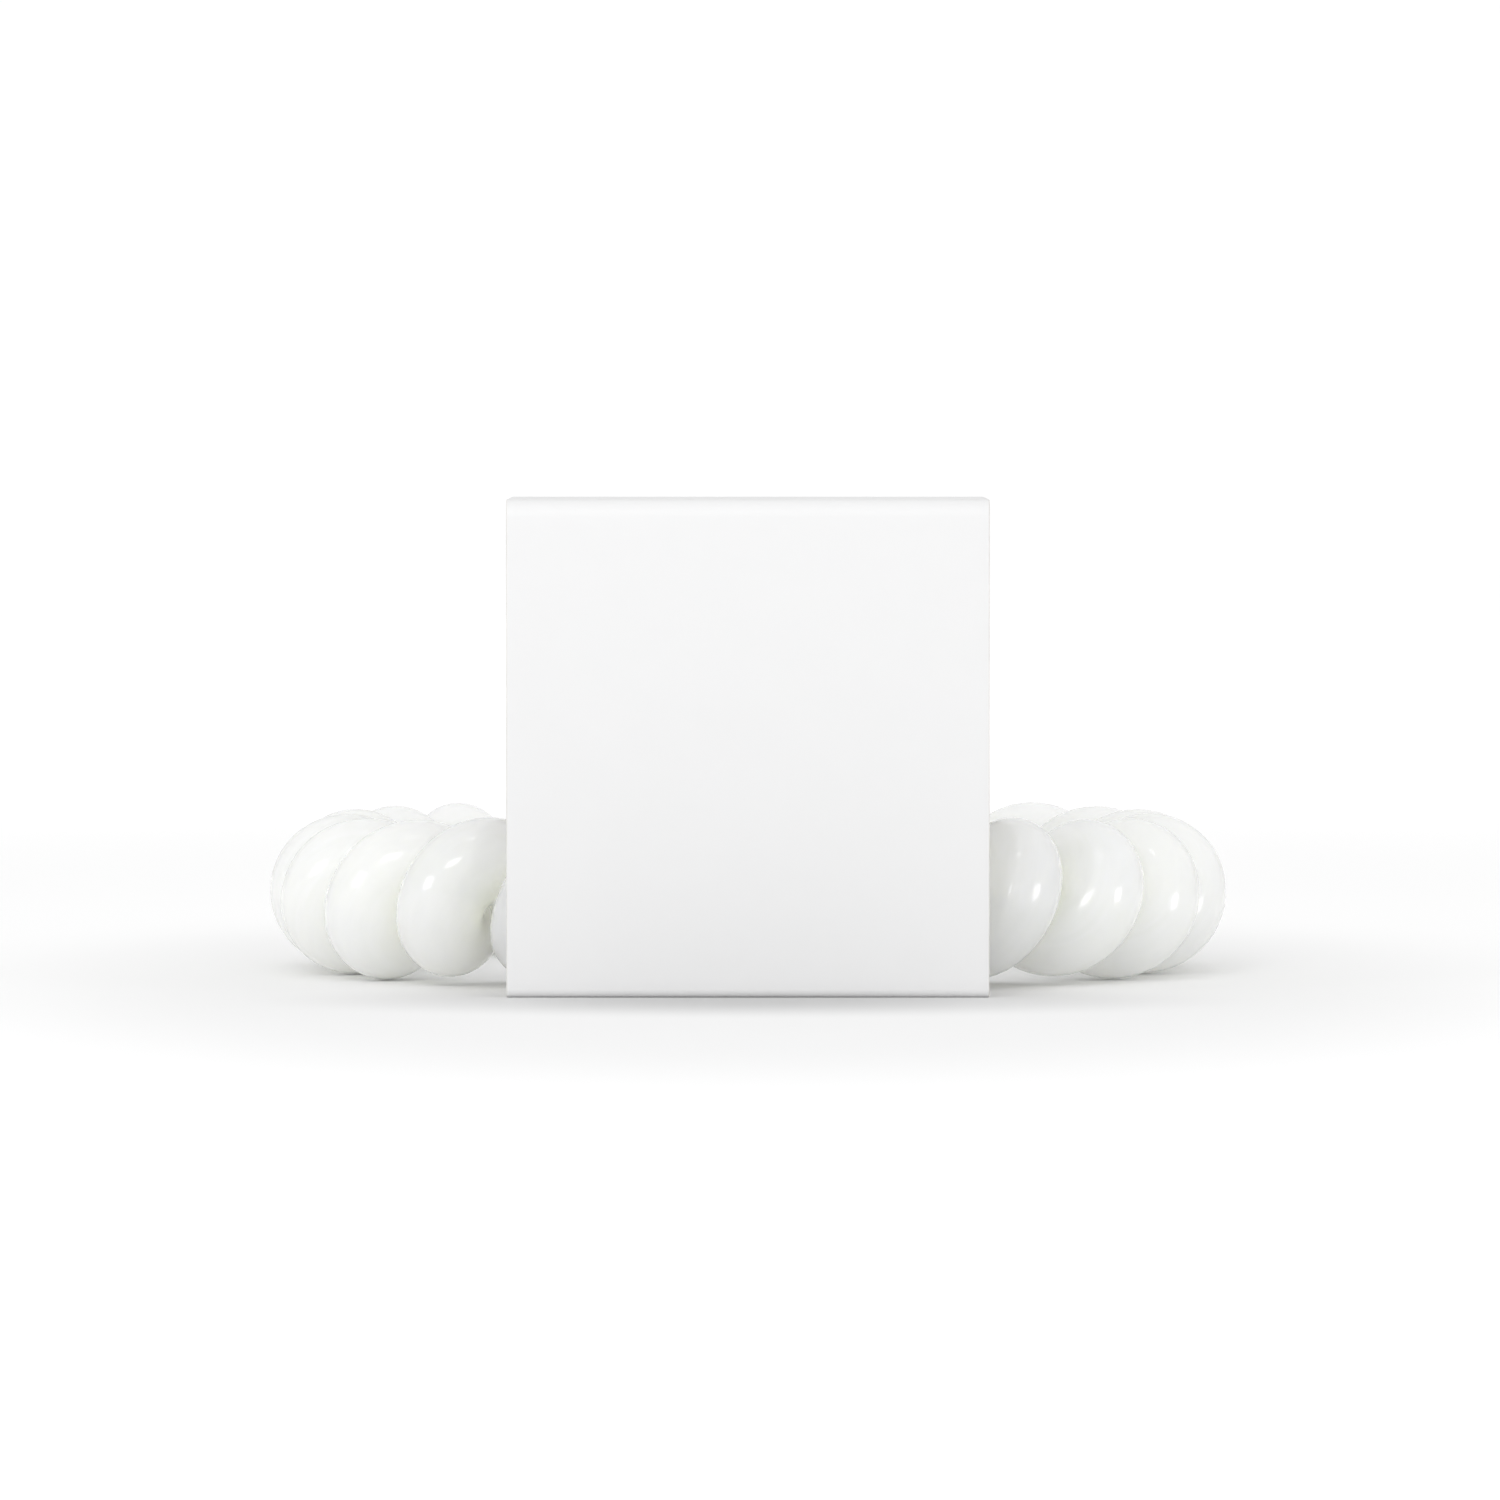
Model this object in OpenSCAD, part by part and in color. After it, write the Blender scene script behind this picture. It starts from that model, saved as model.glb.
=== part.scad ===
// Spiral hair tie lying flat in the card sleeve that it is sold in.
// The tie is one endless plastic cord, coiled left-handed like a telephone cord and closed to a ring.
// The sleeve is one strip of card folded round the front of the ring, open on its left and right.
// The ring's axis is the Z axis and both pieces stand at height 0. The sleeve faces -Y.

/* [Hair tie] */
// Outer diameter of the ring, over its turns
ring_d = 54; // [50:1:64]
// Outer diameter of the spiral, which is the height of the tie as it lies
coil_d = 8.8; // [8:0.1:10]
// Diameter of the plastic cord
cord_d = 4.8; // [4.4:0.1:5.2]
// Least gap between neighbouring turns of the cord
turn_gap = 0.2; // [0.1:0.05:0.6]
// Angle from the right-hand side of the ring to the first turn's outermost point
first_turn = 8.4; // [0:0.1:15]

/* [Card sleeve] */
// Width of the sleeve, along the ring
sleeve_w = 26; // [16:1:28]
// Height of the sleeve over its folds, tall enough for a stack of ties
sleeve_h = 26.8; // [13:0.1:40]
// Thickness of the card
card_t = 0.35; // [0.25:0.05:0.6]
// Inner radius of the soft folds along the top
top_fold_r = 0.6; // [0.2:0.1:1.5]
// Inner radius of the sharp creases along the bottom
crease_r = 0.1; // [0.05:0.05:0.5]
// Height of the glued lap on the back panel
lap_h = 12; // [4:0.5:12.5]
// Gap that the card keeps from the cord
card_gap = 0.15; // [0.1:0.05:0.5]

/* [Hidden] */

// Cross-sections of the cord in one turn, and corners of each
turn_steps = 16;
cord_sides = 12;
// Smoothness of the card's rounded folds
$fn = 48;
// Most turns that are tried
most_turns = 80;
// Angle round the ring in which the soft tie sags from the sleeve's bottom panel to the floor
sag_angle = 20;

// The spiral's own axis is a circle of radius mid_r, and the cord's centre line winds round it
mid_r = (ring_d - coil_d) / 2;
helix_r = (coil_d - cord_d) / 2;
// Radius of the ring's clear opening
opening_r = ring_d / 2 - coil_d;

// Two points of the cord lie a degrees apart along the spiral, mirrored about one of the
// ring's outermost points, so past 180 degrees both are on the inner side, where turns crowd.
// apart() is the straight distance between them on a ring of n turns.
function apart(n, a) = norm([
    2 * (mid_r + helix_r * cos(a / 2)) * sin(a / 2 / n),
    2 * helix_r * sin(a / 2)
]);
// A ring of n turns fits when no two such points, half a turn or more apart, come too close
function fits(n) = min([for (a = [180 : 10 : 360]) apart(n, a)]) >= cord_d + turn_gap;
// The ring has as many turns as fit
turns = max([for (n = [6 : most_turns]) if (fits(n)) n]);
steps = turns * turn_steps;
// Slope of the cord across the spiral, and the whole turns by which the corners of its sections
// are led back over the ring, so that the cord's facets run straight along it
slope = atan(mid_r / (turns * helix_r));
led_back = round(turns * sin(slope));

// Directions at an angle of a degrees along the spiral: out from the ring's axis, round the
// ring, out from the spiral's own axis, along the cord and across the cord
up = [0, 0, 1];
function ring_angle(a) = first_turn + a / turns;
function outward(a) = [cos(ring_angle(a)), sin(ring_angle(a)), 0];
function around(a) = [-sin(ring_angle(a)), cos(ring_angle(a)), 0];
function off_axis(a) = cos(a) * outward(a) + sin(a) * up;
function unit(v) = v / norm(v);
function along(a) = unit(
    helix_r * (cos(a) * up - sin(a) * outward(a))
    + (mid_r + helix_r * cos(a)) / turns * around(a)
);
function across(a) = cross(along(a), off_axis(a));

// The tie lies on the sleeve's bottom panel and, on either side of it, sags to the floor.
// panel_angle is how far the panel carries it to each side of the front, and lift() is how high.
panel_angle = asin((sleeve_w + cord_d) / 2 / mid_r);
function from_front(a) = abs((ring_angle(a) + 270) % 360 - 180);
function sagged(a) = min(max((from_front(a) - panel_angle) / sag_angle, 0), 1);
function lift(a) = (card_t + card_gap) * (1 + cos(180 * sagged(a))) / 2;

// Centre line of the cord, and one corner of its section at that place
function centre(a) = mid_r * outward(a) + helix_r * off_axis(a) + (coil_d / 2 + lift(a)) * up;
function corner(a, c) = centre(a) + cord_d / 2 * (cos(c) * off_axis(a) + sin(c) * across(a));

// Number of a corner in the list of points, counted on past the end of a section or of the ring
function at(step, side) = (step % steps) * cord_sides + side % cord_sides;

// Clear room inside the sleeve, from the front of the ring to where its back panel meets the
// turns at the sleeve's two open sides
front_in = ring_d / 2 + card_gap;
back_in = sqrt(pow(opening_r, 2) - pow(sleeve_w / 2, 2)) - card_gap;
sleeve_depth = front_in - back_in + 2 * card_t;

// The endless cord, closed to a ring
module spiral_cord() {
    points = [
        for (step = [0 : steps - 1], side = [0 : cord_sides - 1])
            corner(360 * step / turn_steps, 360 * (side / cord_sides + led_back * step / steps))
    ];
    faces = [
        for (step = [0 : steps - 1], side = [0 : cord_sides - 1], half = [0, 1])
            half == 0
                ? [at(step, side), at(step, side + 1), at(step + 1, side + 1)]
                : [at(step, side), at(step + 1, side + 1), at(step + 1, side)]
    ];
    color([0.94, 0.95, 0.92])
    polyhedron(points, faces, convexity = 10);
}

// What is cut off a square corner at the origin, to round it by radius r
module corner_waste(r) {
    if (r > 0)
        difference() {
            square(2 * r, center = true);
            translate([r, r]) circle(r);
        }
}

// Upright rectangle, with one radius on its two lower corners and one on its two upper ones
module folded_outline(w, h, low_r, high_r) {
    difference() {
        square([w, h]);
        corner_waste(low_r);
        translate([w, 0]) rotate(90) corner_waste(low_r);
        translate([w, h]) rotate(180) corner_waste(high_r);
        translate([0, h]) rotate(270) corner_waste(high_r);
    }
}

// Section of the sleeve from front to back, with the end of the card lapped over its back
module sleeve_section() {
    difference() {
        union() {
            folded_outline(sleeve_depth, sleeve_h, crease_r + card_t, top_fold_r + card_t);
            folded_outline(sleeve_depth + card_t, lap_h, crease_r + card_t, 0);
        }
        translate([card_t, card_t])
        folded_outline(sleeve_depth - 2 * card_t, sleeve_h - 2 * card_t, crease_r, top_fold_r);
    }
}

module card_sleeve() {
    color([0.98, 0.98, 0.97])
    translate([-sleeve_w / 2, -front_in - card_t, 0])
    rotate([90, 0, 90])
    linear_extrude(sleeve_w)
    sleeve_section();
}

spiral_cord();
card_sleeve();
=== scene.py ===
import math

import bpy
import numpy as np
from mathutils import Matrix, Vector


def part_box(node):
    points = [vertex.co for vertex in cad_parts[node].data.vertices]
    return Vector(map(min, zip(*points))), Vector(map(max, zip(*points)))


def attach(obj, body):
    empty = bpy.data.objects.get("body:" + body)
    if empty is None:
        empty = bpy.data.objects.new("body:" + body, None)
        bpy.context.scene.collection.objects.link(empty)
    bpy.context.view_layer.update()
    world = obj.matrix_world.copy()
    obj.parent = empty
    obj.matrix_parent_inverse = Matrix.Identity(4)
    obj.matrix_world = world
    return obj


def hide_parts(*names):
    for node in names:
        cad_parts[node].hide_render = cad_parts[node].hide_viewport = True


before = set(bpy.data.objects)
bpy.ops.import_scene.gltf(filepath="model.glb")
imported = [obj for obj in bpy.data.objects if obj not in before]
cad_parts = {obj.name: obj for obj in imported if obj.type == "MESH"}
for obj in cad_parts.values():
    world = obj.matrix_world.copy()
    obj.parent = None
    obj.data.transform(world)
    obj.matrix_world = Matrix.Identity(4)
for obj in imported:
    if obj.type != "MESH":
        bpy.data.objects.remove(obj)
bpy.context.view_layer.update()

MM = 0.001

# The tie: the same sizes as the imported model's
RING_D = 54.0 * MM
COIL_D = 8.8 * MM
CORD_D = 4.8 * MM
TURNS = 23
FIRST_TURN = math.radians(8.4)
SAG_ANGLE = math.radians(20)

# The spiral's own axis is a circle of radius MID_R, and the cord winds round it at HELIX_R
MID_R = (RING_D - COIL_D) / 2
HELIX_R = (COIL_D - CORD_D) / 2

# The card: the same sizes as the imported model's
CARD_T = 0.35 * MM
CARD_GAP = 0.15 * MM
SLEEVE_W = 26.0 * MM
TOP_FOLD_R = 0.6 * MM
CREASE_R = 0.1 * MM
LAP_H = 12.0 * MM

# Softening of the card's cut edges
EDGE_R = 0.06 * MM
# Short straight stretch of the card's inner end below the fold
INNER_LEAD = 0.01 * MM

# Mesh density: sections of the cord and their corners, longest step along the card's path,
# points across its width, and steps in a soft fold and in a sharp crease
SECTIONS_PER_TURN = 48
SECTIONS = TURNS * SECTIONS_PER_TURN
CORD_SIDES = 40
PATH_STEP = 0.6 * MM
CARD_COLUMNS = 41
FOLD_STEPS = 10
CREASE_STEPS = 6

# Unevenness of the moulded turns, as waves round the ring. Each wave has its reach, how many
# times it goes round, and where it starts in radians.
OUTWARD_WAVES_MM = [(0.05, 5, 1.3), (0.03, 11, 0.4)]
AROUND_WAVES_DEG = [(0.22, 7, 0.6), (0.18, 13, 2.2)]
UPWARD_WAVES_MM = [(0.03, 4, 2.1), (0.02, 9, 0.9)]

# Surfaces of the card, as numbers of its materials
OUTSIDE, INSIDE, CUT_EDGE = 0, 1, 2

# Looks of those surfaces: name, colour, roughness, depth of the fibres, and the share of the
# colour that is left where it is mottled
CARD_LOOKS = [
    ("card_front", (0.71, 0.71, 0.712), 0.48, 0.004 * MM, 0.995),
    ("card_inside", (0.71, 0.705, 0.69), 0.75, 0.012 * MM, 0.96),
    ("card_edge", (0.70, 0.69, 0.67), 0.85, 0.03 * MM, 0.90),
]
# Fibres and mottles in a metre of card
FIBRES = (2600, 900, 900)
MOTTLES = 420

# Colours of the plastic: between its streaks, in them, in its clouds, and painted shade deep between
# the turns
CLEARER = (0.955, 0.963, 0.94)
STREAKED = (0.998, 0.998, 0.998)
CLOUDED = (0.999, 0.999, 0.999)
PAINTED_VALLEY_SHADE = (0.94, 0.956, 0.81)

# Brightness of the room's walls, and of the backdrop behind the part
WALLS = 0.76
BACKDROP = 1.02
# Its brighter sides: direction, the cosines of the angle from there at which the side begins
# and is full, and how much it adds to the walls
BRIGHT_SIDES = [
    ((0, 1, 0), 0.978, 0.9945, BACKDROP - WALLS),    # the backdrop
    ((0, -1, 0.1), 0.3, 0.95, 0.52),                 # behind the camera
    ((0, 0.5, 0.87), 0.5, 0.97, 0.25),               # high up behind the part
]

# The table: half its side, and the greys of its paint and of the soft shade painted on it
TABLE_HALF = 0.9
TABLE_GREY = 0.83
SHADE_GREY = 0.54
# The shade lies in front of the sleeve: its middle, its reach to the side and to the front,
# and the shares of that reach at which it begins to fade and has gone
SHADE = ((0, -30 * MM), (28 * MM, 17 * MM), 0.1, 1.0)
# Glow of the table away from the part: the middle and reach of the ellipse that is left dark,
# the shares of that reach at which the glow begins and is full, and its strength
GLOWS = [
    ((0, -20 * MM), (48 * MM, 95 * MM), 0.5, 1.1, 0.11),
    ((0, 0), (500 * MM, 500 * MM), 0.2, 1.0, 0.28),
]

# Softboxes: name, place, size and power, all aimed at the same point
SOFTBOXES = [
    ("ceiling_softbox", (0.0, -0.14, 0.55), (0.14, 0.06), 0.06),
    ("key_softbox", (-0.14, -0.45, 0.31), (0.20, 0.12), 0.35),
    ("right_softbox", (0.46, -0.28, 0.13), (0.16, 0.16), 0.38),
    ("left_softbox", (-0.44, -0.32, 0.12), (0.16, 0.16), 0.42),
]
LIGHT_AIM = (0.0, 0.0, 0.008)

# The photograph's view, in pixels of its 1500 by 1500 frame, and where the camera stands
PICTURE_PX, FOCAL_PX, HORIZON_PX, RING_CENTRE_PX = 1500, 10656, 384, 748
CAMERA_DISTANCE = 600 * MM
CAMERA_HEIGHT = 33 * MM
SENSOR_MM = 36.0
NEAREST, FURTHEST = 0.01, 30.0

# White things light each other, so the light is followed further than usual
BOUNCES, DIFFUSE_BOUNCES = 24, 16


# Mesh making

def mesh_object(name, points, faces, smooth=True):
    """A new object from a list of points and a list of faces."""
    mesh = bpy.data.meshes.new(name)
    mesh.from_pydata([tuple(p) for p in points], [], [tuple(int(i) for i in f) for f in faces])
    mesh.update()
    piece = bpy.data.objects.new(name, mesh)
    bpy.context.scene.collection.objects.link(piece)
    if smooth:
        mesh.shade_smooth()
    return piece


def grid_faces(rows, columns, closed_rows):
    """Quads between rows of points, each row a closed loop. The last row may join the first."""
    row = np.arange(rows if closed_rows else rows - 1)
    r, c = np.meshgrid(row, np.arange(columns), indexing="ij")
    near, far = r * columns, (r + 1) % rows * columns
    on = (c + 1) % columns
    return np.stack([near + c, near + on, far + on, far + c], axis=-1).reshape(-1, 4)


def store(piece, name, kind, values):
    """Keep one value for each point of the mesh as a named attribute."""
    layer = piece.data.attributes.new(name, kind, "POINT")
    field = "vector" if kind == "FLOAT_VECTOR" else "value"
    layer.data.foreach_set(field, np.asarray(values, np.float32).ravel())


def unit(vectors):
    """The same directions, each of length 1."""
    return vectors / np.linalg.norm(vectors, axis=1)[:, None]


# The spiral cord

def ring_frame(angle):
    """Directions outward from the ring's axis and round the ring, for each ring angle."""
    zero = np.zeros_like(angle)
    outward = np.stack([np.cos(angle), np.sin(angle), zero], axis=-1)
    around = np.stack([-np.sin(angle), np.cos(angle), zero], axis=-1)
    return outward, around


def waves(table, angle, raised=0):
    """Sum of the waves in a table, each raised by so many times its reach."""
    return sum(reach * (raised + np.sin(count * angle + start)) for reach, count, start in table)


def hand_wound(angle):
    """Small shifts of the turns outward, round the ring and up, as a moulded coil settles."""
    out = waves(OUTWARD_WAVES_MM, angle)
    turn = waves(AROUND_WAVES_DEG, angle)
    lift = waves(UPWARD_WAVES_MM, angle, raised=1)
    return out * MM, np.radians(turn), lift * MM


def sleeve_lift(angle):
    """Height of the tie off the floor: it lies on the sleeve's bottom panel and sags beside it."""
    panel_angle = math.asin((SLEEVE_W + CORD_D) / 2 / MID_R)
    from_front = np.abs((angle + 1.5 * math.pi) % math.tau - math.pi)
    sagged = np.clip((from_front - panel_angle) / SAG_ANGLE, 0, 1)
    return (CARD_T + CARD_GAP) * (1 + np.cos(math.pi * sagged)) / 2


def cord_line():
    """The cord's centre line: its points, those of the spiral's own axis beside them, and the
    directions there away from that axis and round the ring."""
    up = np.array([0.0, 0.0, 1.0])
    # It starts at the front of the tie, under the card
    start = round((math.radians(-90) - FIRST_TURN) * TURNS / math.tau) * math.tau
    wind = start + np.arange(SECTIONS) * (math.tau / SECTIONS_PER_TURN)
    angle = FIRST_TURN + wind / TURNS
    out_shift, turn_shift, lift = hand_wound(angle)
    outward, around = ring_frame(angle + turn_shift)
    off_axis = np.cos(wind)[:, None] * outward + np.sin(wind)[:, None] * up
    spine = (MID_R + out_shift)[:, None] * outward
    spine += (COIL_D / 2 + lift + sleeve_lift(angle))[:, None] * up
    return spine + HELIX_R * off_axis, spine, off_axis, around


def section_corners(centre, off_axis, side):
    """Corners of the cord's round section at each point of its centre line."""
    along = unit(np.roll(centre, -1, axis=0) - np.roll(centre, 1, axis=0))
    normal = unit(off_axis - (off_axis * along).sum(1)[:, None] * along)
    across = np.cross(along, normal)
    # The corners are led back along the cord, so that lines of points run straight along it
    slope = math.atan(MID_R / (TURNS * HELIX_R))
    led_back = round(TURNS * math.sin(slope))
    twist = math.tau * led_back * np.arange(SECTIONS) / SECTIONS
    turn = side[None, :] + twist[:, None]
    spread = np.cos(turn)[..., None] * normal[:, None] + np.sin(turn)[..., None] * across[:, None]
    return centre[:, None] + CORD_D / 2 * spread


def cord_places(centre, side):
    """Place of each point on the cord: across its section in cord radii, along it in mm."""
    step = np.linalg.norm(np.roll(centre, -1, axis=0) - centre, axis=1)
    length = np.concatenate([[0.0], np.cumsum(step)[:-1]]) / MM
    return np.stack(np.broadcast_arrays(
        np.cos(side)[None, :], np.sin(side)[None, :], length[:, None]), axis=-1)


def cord_depths(points, spine, around):
    """How far out each point lies: 0 at the spiral's own axis, 1 on its outside."""
    off = points - spine[:, None]
    off = off - (off * around[:, None]).sum(-1)[..., None] * around[:, None]
    return np.linalg.norm(off, axis=-1) / (COIL_D / 2)


def make_cord():
    """The endless cord, with what its material needs to know of each point."""
    centre, spine, off_axis, around = cord_line()
    side = np.arange(CORD_SIDES) * (math.tau / CORD_SIDES)
    points = section_corners(centre, off_axis, side)
    faces = grid_faces(SECTIONS, CORD_SIDES, closed_rows=True)
    piece = mesh_object("pearl_spiral_cord", points.reshape(-1, 3), faces)
    store(piece, "cord_place", "FLOAT_VECTOR", cord_places(centre, side))
    store(piece, "depth", "FLOAT", cord_depths(points, spine, around))
    return piece


# The card sleeve

def bend(path, centre, radius, start, end, steps):
    """Add the points of a rounded fold to a path, by angle in degrees from +Y towards +Z."""
    for i in range(steps + 1):
        a = math.radians(start + (end - start) * i / steps)
        path.append((centre[0] + radius * math.cos(a), centre[1] + radius * math.sin(a)))


def card_path():
    """Middle of the card's thickness in the YZ plane, from its inner end to the end of its lap."""
    low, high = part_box("card_sleeve")
    half = CARD_T / 2
    front, top, bottom = low.y + half, high.z - half, low.z + half
    lap_y = high.y - half
    back = lap_y - CARD_T
    fold, crease = TOP_FOLD_R + half, CREASE_R + half
    path = [(back, bottom + 2 * half), (back, top - fold - INNER_LEAD)]
    bend(path, (back - fold, top - fold), fold, 0, 90, FOLD_STEPS)
    bend(path, (front + fold, top - fold), fold, 90, 180, FOLD_STEPS)
    bend(path, (front + crease, bottom + crease), crease, 180, 270, CREASE_STEPS)
    bend(path, (lap_y - crease, bottom + crease), crease, 270, 360, CREASE_STEPS)
    path.append((lap_y, LAP_H))
    return path


def resample(path, longest):
    """Break a path's straight stretches into steps no longer than the given length."""
    fine = [path[0]]
    for a, b in zip(path, path[1:]):
        count = max(1, math.ceil(math.dist(a, b) / longest))
        fine += [(a[0] + (b[0] - a[0]) * i / count, a[1] + (b[1] - a[1]) * i / count)
                 for i in range(1, count + 1)]
    return np.array(fine)


def card_section(width):
    """Section of the card across its path: for each point its place along X, its place through
    the thickness, and the surface that it is on."""
    flat_x, flat_y = width / 2 - EDGE_R, CARD_T / 2 - EDGE_R
    xs = np.linspace(-flat_x, flat_x, CARD_COLUMNS)
    rounding = []
    for degrees in (60, 30, 0):
        a = math.radians(degrees)
        rounding.append((flat_x + EDGE_R * math.cos(a), flat_y + EDGE_R * math.sin(a), CUT_EDGE))
    right = rounding + [(x, -y, kind) for x, y, kind in reversed(rounding)]
    left = [(-x, y, kind) for x, y, kind in reversed(right)]
    outside = [(x, CARD_T / 2, OUTSIDE) for x in xs]
    inside = [(x, -CARD_T / 2, INSIDE) for x in reversed(xs)]
    return outside + right + inside + left


def make_sleeve():
    """The folded strip of card, with a material for each of its surfaces."""
    low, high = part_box("card_sleeve")
    path = resample(card_path(), PATH_STEP)
    ahead = unit(np.gradient(path, axis=0))
    # The outside of the card is on the right of the path as it runs
    outward = np.stack([ahead[:, 1], -ahead[:, 0]], axis=-1)
    section = card_section(high.x - low.x)
    rows, columns = len(path), len(section)
    points = np.zeros((rows, columns, 3))
    for k, (x, off, _) in enumerate(section):
        points[:, k, 0] = x
        points[:, k, 1:] = path + outward * off
    faces = [list(f) for f in grid_faces(rows, columns, closed_rows=False)]
    kinds = []
    for f in faces:
        a, b = section[f[0] % columns][2], section[f[1] % columns][2]
        kinds.append(a if a == b else CUT_EDGE)
    # The strip's two ends
    faces.append(list(range(columns))[::-1])
    faces.append([(rows - 1) * columns + k for k in range(columns)])
    kinds += [CUT_EDGE, CUT_EDGE]
    piece = mesh_object("white_card_sleeve", points.reshape(-1, 3), faces)
    piece.data.polygons.foreach_set("material_index", kinds)
    return piece


# Materials

class Nodes:
    """A short way to add shader nodes and join them."""

    def __init__(self, holder):
        holder.use_nodes = True
        self.holder = holder
        self.tree = holder.node_tree
        self.shader = next(n for n in self.tree.nodes if "OUTPUT" not in n.type)

    def add(self, kind, inputs=(), **settings):
        node = self.tree.nodes.new(kind)
        for key, value in settings.items():
            setattr(node, key, value)
        for key, value in dict(inputs).items():
            self.put(node.inputs[key], value)
        return node

    def put(self, socket, value):
        if isinstance(value, bpy.types.NodeSocket):
            self.tree.links.new(value, socket)
        else:
            socket.default_value = value

    def noise(self, place, scale=1.0, detail=3.0, roughness=0.5, distortion=0.0):
        node = self.add("ShaderNodeTexNoise", {
            "Vector": place, "Scale": scale, "Detail": detail, "Roughness": roughness,
            "Distortion": distortion})
        return node.outputs["Fac"]

    def span(self, value, low, high, to_low, to_high):
        """Map a range of a value smoothly to another range, held at both ends."""
        node = self.add("ShaderNodeMapRange", {
            "Value": value, "From Min": low, "From Max": high,
            "To Min": to_low, "To Max": to_high}, interpolation_type="SMOOTHSTEP")
        return node.outputs["Result"]

    def blend(self, share, first, second):
        """Mix of two colours, from all of the first at 0 to all of the second at 1."""
        node = self.add("ShaderNodeMix", data_type="RGBA")
        self.put(node.inputs["Factor"], share)
        self.put(node.inputs[6], first)
        self.put(node.inputs[7], second)
        return node.outputs[2]

    def plus(self, first, second):
        return self.add("ShaderNodeMath", {0: first, 1: second}, operation="ADD").outputs[0]

    def vector(self, operation, *inputs):
        return self.add("ShaderNodeVectorMath", enumerate(inputs), operation=operation).outputs

    def bump(self, height, distance, strength, under=None):
        node = self.add("ShaderNodeBump", {
            "Height": height, "Distance": distance, "Strength": strength})
        if under is not None:
            self.put(node.inputs["Normal"], under)
        return node.outputs["Normal"]

    def scaled(self, place, scale):
        node = self.add("ShaderNodeMapping", {"Vector": place, "Scale": scale})
        return node.outputs["Vector"]

    def coordinate(self, output):
        return self.add("ShaderNodeTexCoord").outputs[output]

    def attribute(self, name, output):
        return self.add("ShaderNodeAttribute", attribute_name=name).outputs[output]

    def surface(self, **values):
        """Set or join the shader's sockets, named here with low letters and underscores."""
        sockets = {socket.name.lower().replace(" ", "_"): socket for socket in self.shader.inputs}
        for key, value in values.items():
            self.put(sockets[key], value)


def colour(r, g, b):
    return (r, g, b, 1.0)


def grey(level):
    return colour(level, level, level)


def pearl_plastic():
    """Milky pearl white polyurethane: glossy, lit from within, a faint yellow-green shade painted
    deep in.
    """
    n = Nodes(bpy.data.materials.new("pearl_plastic"))
    place = n.attribute("cord_place", "Vector")
    depth = n.attribute("depth", "Fac")
    # Milky streaks drawn out along the cord, and softer clouds
    streaks = n.noise(n.scaled(place, (1.6, 1.6, 0.16)), roughness=0.55, distortion=0.8)
    clouds = n.noise(n.scaled(place, (0.7, 0.7, 0.35)), detail=2.0)
    milk_and_shade = n.blend(n.span(streaks, 0.35, 0.7, 0.0, 1.0), colour(*CLEARER), colour(*STREAKED))
    milk_and_shade = n.blend(n.span(clouds, 0.3, 0.7, 0.0, 0.5), milk_and_shade, colour(*CLOUDED))
    # Painted shade: darker and yellow-green deep between the turns, for shade there and for light
    # through thick plastic
    milk_and_shade = n.blend(n.span(depth, 0.25, 0.72, 1.0, 0.0), milk_and_shade, colour(*PAINTED_VALLEY_SHADE))
    # Faint flow marks from moulding, and fine handling marks
    flow = n.noise(n.scaled(place, (1.2, 1.2, 0.5)), detail=2.0)
    fine = n.noise(n.scaled(place, (9.0, 9.0, 3.5)))
    relief = n.bump(flow, distance=0.10 * MM, strength=0.5)
    relief = n.bump(fine, distance=0.006 * MM, strength=0.4, under=relief)
    n.surface(
        base_color=milk_and_shade,
        roughness=n.span(fine, 0.3, 0.7, 0.08, 0.15),
        ior=1.5,
        subsurface_weight=1.0,
        subsurface_radius=(1.0, 0.98, 0.85),
        subsurface_scale=30.0 * MM,
        transmission_weight=0.02,
        coat_weight=0.25,
        coat_roughness=0.03,
        normal=relief,
    )
    return n.holder


def card(name, base, roughness, fibre_depth, mottled_share):
    """White card with fine fibres and slight mottling, smoother where it is coated."""
    n = Nodes(bpy.data.materials.new(name))
    place = n.coordinate("Object")
    fibres = n.noise(n.scaled(place, FIBRES), detail=4.0, roughness=0.65, distortion=1.2)
    mottle = n.noise(place, scale=MOTTLES)
    dark = colour(*(c * mottled_share for c in base))
    n.surface(
        base_color=n.blend(n.span(mottle, 0.3, 0.7, 0.0, 1.0), dark, colour(*base)),
        roughness=n.span(fibres, 0.3, 0.7, roughness - 0.05, roughness + 0.05),
        normal=n.bump(fibres, distance=fibre_depth, strength=0.6),
    )
    return n.holder


# Light, floor and camera

def make_room():
    """A pale room with a white backdrop, brighter behind the camera and high up behind the part."""
    world = bpy.data.worlds.new("pale_room")
    bpy.context.scene.world = world
    n = Nodes(world)
    toward = n.coordinate("Generated")
    level = WALLS
    for direction, begins, full, adds in BRIGHT_SIDES:
        facing = n.vector("DOT_PRODUCT", toward, Vector(direction).normalized())["Value"]
        level = n.plus(level, n.span(facing, begins, full, 0.0, adds))
    n.surface(color=grey(1.0), strength=level)


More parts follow.
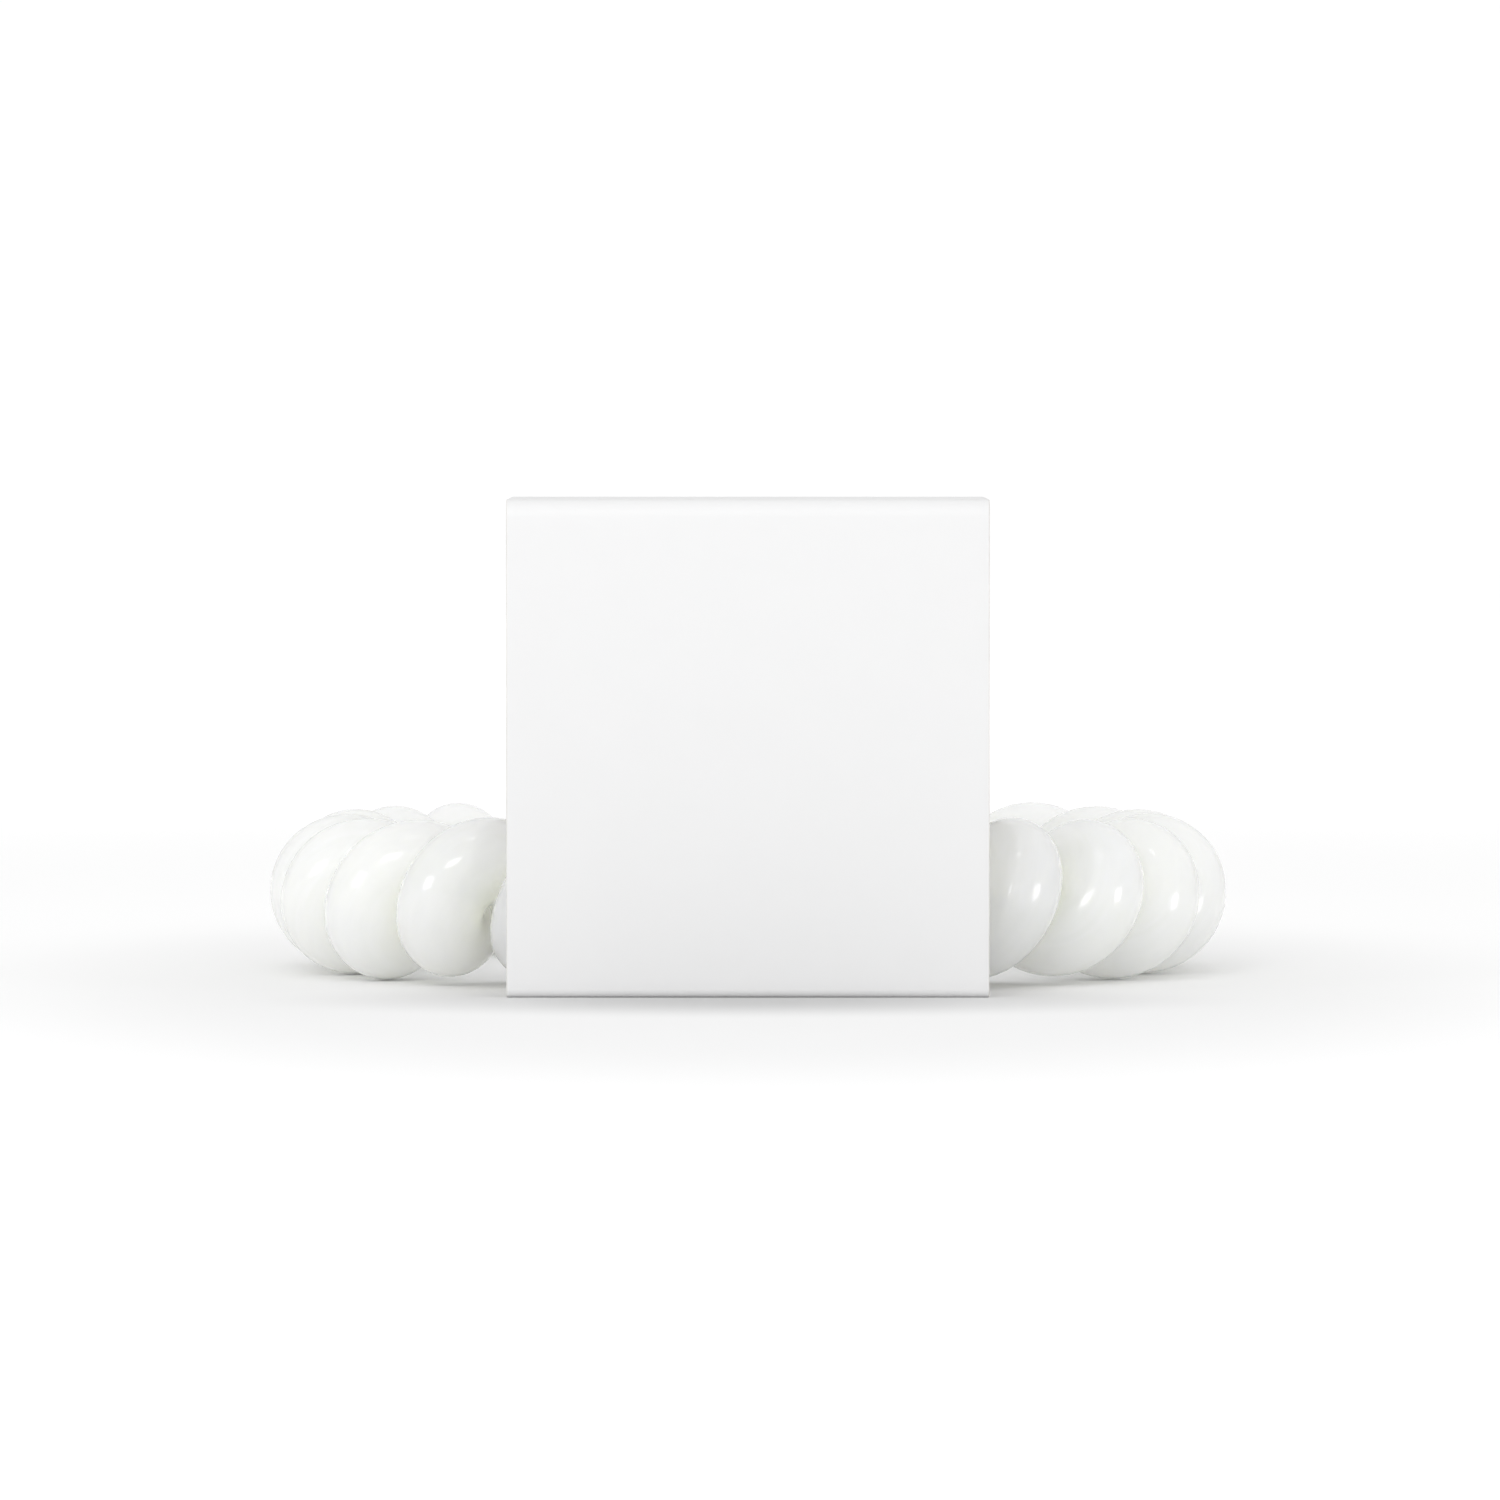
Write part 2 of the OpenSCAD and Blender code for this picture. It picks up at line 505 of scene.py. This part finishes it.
def make_table():
    """A white table with a soft shade painted in front of the sleeve, glowing a little away from it.
    """
    corners = [(-TABLE_HALF, -TABLE_HALF, 0), (TABLE_HALF, -TABLE_HALF, 0),
               (TABLE_HALF, TABLE_HALF, 0), (-TABLE_HALF, TABLE_HALF, 0)]
    table = mesh_object("floor", corners, [(0, 1, 2, 3)], smooth=False)
    n = Nodes(bpy.data.materials.new("floor_white"))
    place = n.coordinate("Object")

    def away(middle, reach):
        """Distance on the table from a point, in reaches to the side and to the front."""
        shift = n.vector("ADD", place, (-middle[0], -middle[1], 0))["Vector"]
        scaled = n.vector("MULTIPLY", shift, (1 / reach[0], 1 / reach[1], 1))["Vector"]
        return n.vector("LENGTH", scaled)["Value"]

    middle, reach, begins, gone = SHADE
    # Painted shadow: the table's grey is darker in an ellipse in front of the sleeve
    paint = n.blend(
        n.span(away(middle, reach), begins, gone, 0.0, 1.0), grey(SHADE_GREY), grey(TABLE_GREY))
    glow = 0.0
    for middle, reach, begins, full, strength in GLOWS:
        glow = n.plus(glow, n.span(away(middle, reach), begins, full, 0.0, strength))
    n.surface(base_color=paint, roughness=0.8, emission_color=grey(1.0), emission_strength=glow)
    table.data.materials.append(n.holder)


def make_lamps():
    """Softboxes above, in front and on both sides."""
    for name, place, size, power in SOFTBOXES:
        light = bpy.data.lights.new(name, "AREA")
        light.shape = "RECTANGLE"
        light.size, light.size_y = size
        light.energy = power
        lamp = bpy.data.objects.new(name, light)
        lamp.location = place
        lamp.rotation_euler = (Vector(LIGHT_AIM) - Vector(place)).to_track_quat("-Z", "Y").to_euler()
        bpy.context.scene.collection.objects.link(lamp)


def make_camera():
    """The photograph's view: from the front, a little above the level of the sleeve's top."""
    lens = bpy.data.cameras.new("camera")
    lens.sensor_width = SENSOR_MM
    lens.lens = FOCAL_PX / PICTURE_PX * SENSOR_MM
    lens.clip_start, lens.clip_end = NEAREST, FURTHEST
    camera = bpy.data.objects.new("camera", lens)
    down = math.atan((PICTURE_PX / 2 - HORIZON_PX) / FOCAL_PX)
    aside = (PICTURE_PX / 2 - RING_CENTRE_PX) / FOCAL_PX * CAMERA_DISTANCE
    camera.location = (aside, -CAMERA_DISTANCE, CAMERA_HEIGHT)
    camera.rotation_euler = (math.radians(90) - down, 0.0, 0.0)
    bpy.context.scene.collection.objects.link(camera)
    bpy.context.scene.camera = camera


# Putting it together

make_camera()

cord = make_cord()
cord.data.materials.append(pearl_plastic())
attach(cord, "root")
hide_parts("spiral_cord")

sleeve = make_sleeve()
for look in CARD_LOOKS:
    sleeve.data.materials.append(card(*look))
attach(sleeve, "root")
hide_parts("card_sleeve")

make_room()
make_table()
make_lamps()
scene = bpy.context.scene
scene.view_settings.view_transform = "Standard"
scene.cycles.max_bounces = BOUNCES
scene.cycles.diffuse_bounces = DIFFUSE_BOUNCES
